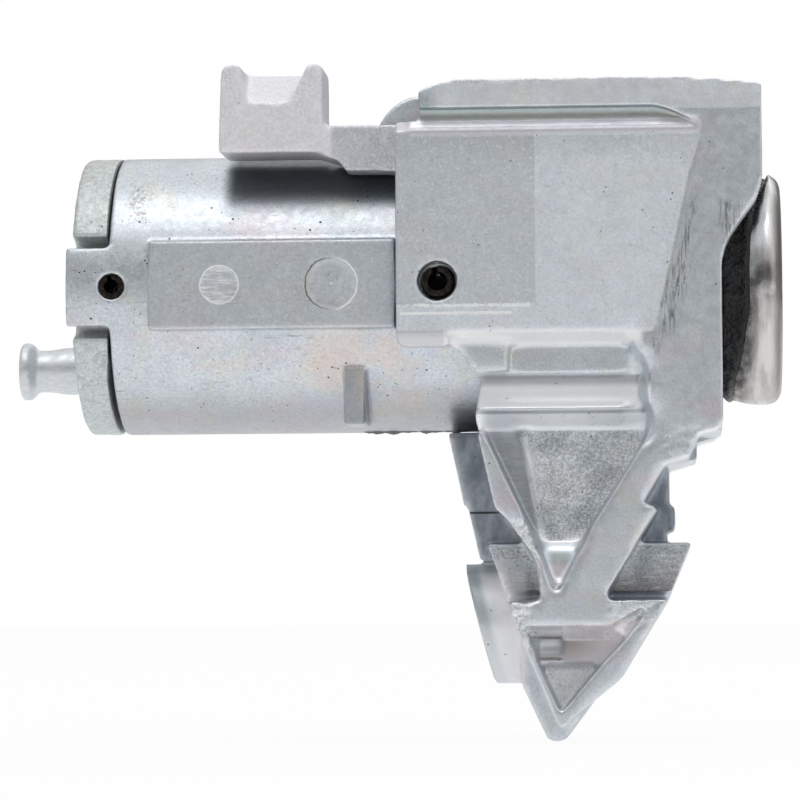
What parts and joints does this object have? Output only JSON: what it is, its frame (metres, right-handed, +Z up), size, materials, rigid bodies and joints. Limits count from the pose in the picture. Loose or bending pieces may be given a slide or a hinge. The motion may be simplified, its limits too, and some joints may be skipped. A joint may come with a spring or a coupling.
{
  "type": "door lock cylinder",
  "caption": "Door lock cylinder of a car: round die-cast barrel pinned into a cast carrier bracket with a barbed foot, a capped key face and an eccentric crank pin at the rear.",
  "frame": {"origin": "on the barrel's axis, in the plane of the bracket's rear edge where the barrel enters it", "axes": "+X along the barrel towards the key face, +Z up to the hood, +Y away from the side with the two spring pins"},
  "size_m": [0.076, 0.033, 0.0662],
  "materials": {
    "zinc_casting": "die-cast zinc, grey, lightly sparkling",
    "zinc_cap": "die-cast zinc, matte, slightly greenish",
    "zinc_plug": "die-cast zinc, machined",
    "steel_crank": "turned steel, shiny",
    "steel_sleeve": "drawn steel",
    "steel_shutter": "stamped steel",
    "stainless_cap": "pressed stainless steel, bright",
    "pin_steel": "blackened spring steel",
    "spring_steel": "spring steel wire",
    "rubber_seal": "black rubber, glossy",
    "brass_wafer": "stamped brass"
  },
  "bodies": {
    "housing": {"bracket": "zinc_casting", "barrel": "zinc_casting", "bracket_pin": "pin_steel", "rear_cap": "zinc_cap", "rear_cap_pin": "pin_steel", "face_cap": "stainless_cap", "face_seal": "rubber_seal", "return_spring": "spring_steel"},
    "plug": {"plug": "zinc_plug", "freewheel_sleeve": "steel_sleeve", "plug_clip": "spring_steel", "shutter_pin": "pin_steel", "shutter_spring": "spring_steel", "wafer_spring_1": "spring_steel", "wafer_spring_2": "spring_steel", "wafer_spring_3": "spring_steel", "wafer_spring_4": "spring_steel", "wafer_spring_5": "spring_steel", "wafer_spring_6": "spring_steel"},
    "crank": {"crank": "steel_crank"},
    "shutter": {"shutter": "steel_shutter"},
    "wafer_1": {"wafer_1": "brass_wafer"},
    "wafer_2": {"wafer_2": "brass_wafer"},
    "wafer_3": {"wafer_3": "brass_wafer"},
    "wafer_4": {"wafer_4": "brass_wafer"},
    "wafer_5": {"wafer_5": "brass_wafer"},
    "wafer_6": {"wafer_6": "brass_wafer"}
  },
  "joints": [
    {"name": "plug_turn", "type": "hinge", "parent": "housing", "child": "plug", "pos_m": [0, 0, 0], "axis": [1, 0, 0], "range_deg": [-45, 45], "stiffness_Nm_per_rad": 0.05},
    {"name": "crank_turn", "type": "hinge", "parent": "housing", "child": "crank", "pos_m": [-0.03, 0, 0], "axis": [1, 0, 0], "range_deg": [-45, 45]},
    {"name": "shutter_swing", "type": "hinge", "parent": "plug", "child": "shutter", "pos_m": [0.0352, 0.0026, 0], "axis": [0, 0, -1], "range_deg": [0, 86], "stiffness_Nm_per_rad": 0.0005, "springref_deg": -28.65},
    {"name": "wafer_1_slide", "type": "slide", "parent": "plug", "child": "wafer_1", "axis": [0, 0, -1], "range_m": [0, 0.001], "stiffness_N_per_m": 60, "springref_m": -0.0005, "deforming": ["wafer_spring_1"]},
    {"name": "wafer_2_slide", "type": "slide", "parent": "plug", "child": "wafer_2", "axis": [0, 0, 1], "range_m": [0, 0.001], "stiffness_N_per_m": 60, "springref_m": -0.0005, "deforming": ["wafer_spring_2"]},
    {"name": "wafer_3_slide", "type": "slide", "parent": "plug", "child": "wafer_3", "axis": [0, 0, -1], "range_m": [0, 0.001], "stiffness_N_per_m": 60, "springref_m": -0.0005, "deforming": ["wafer_spring_3"]},
    {"name": "wafer_4_slide", "type": "slide", "parent": "plug", "child": "wafer_4", "axis": [0, 0, 1], "range_m": [0, 0.001], "stiffness_N_per_m": 60, "springref_m": -0.0005, "deforming": ["wafer_spring_4"]},
    {"name": "wafer_5_slide", "type": "slide", "parent": "plug", "child": "wafer_5", "axis": [0, 0, -1], "range_m": [0, 0.001], "stiffness_N_per_m": 60, "springref_m": -0.0005, "deforming": ["wafer_spring_5"]},
    {"name": "wafer_6_slide", "type": "slide", "parent": "plug", "child": "wafer_6", "axis": [0, 0, 1], "range_m": [0, 0.001], "stiffness_N_per_m": 60, "springref_m": -0.0005, "deforming": ["wafer_spring_6"]}
  ],
  "couplings": [
    {"joint": "crank_turn", "follows": "plug_turn", "ratio": 1}
  ]
}
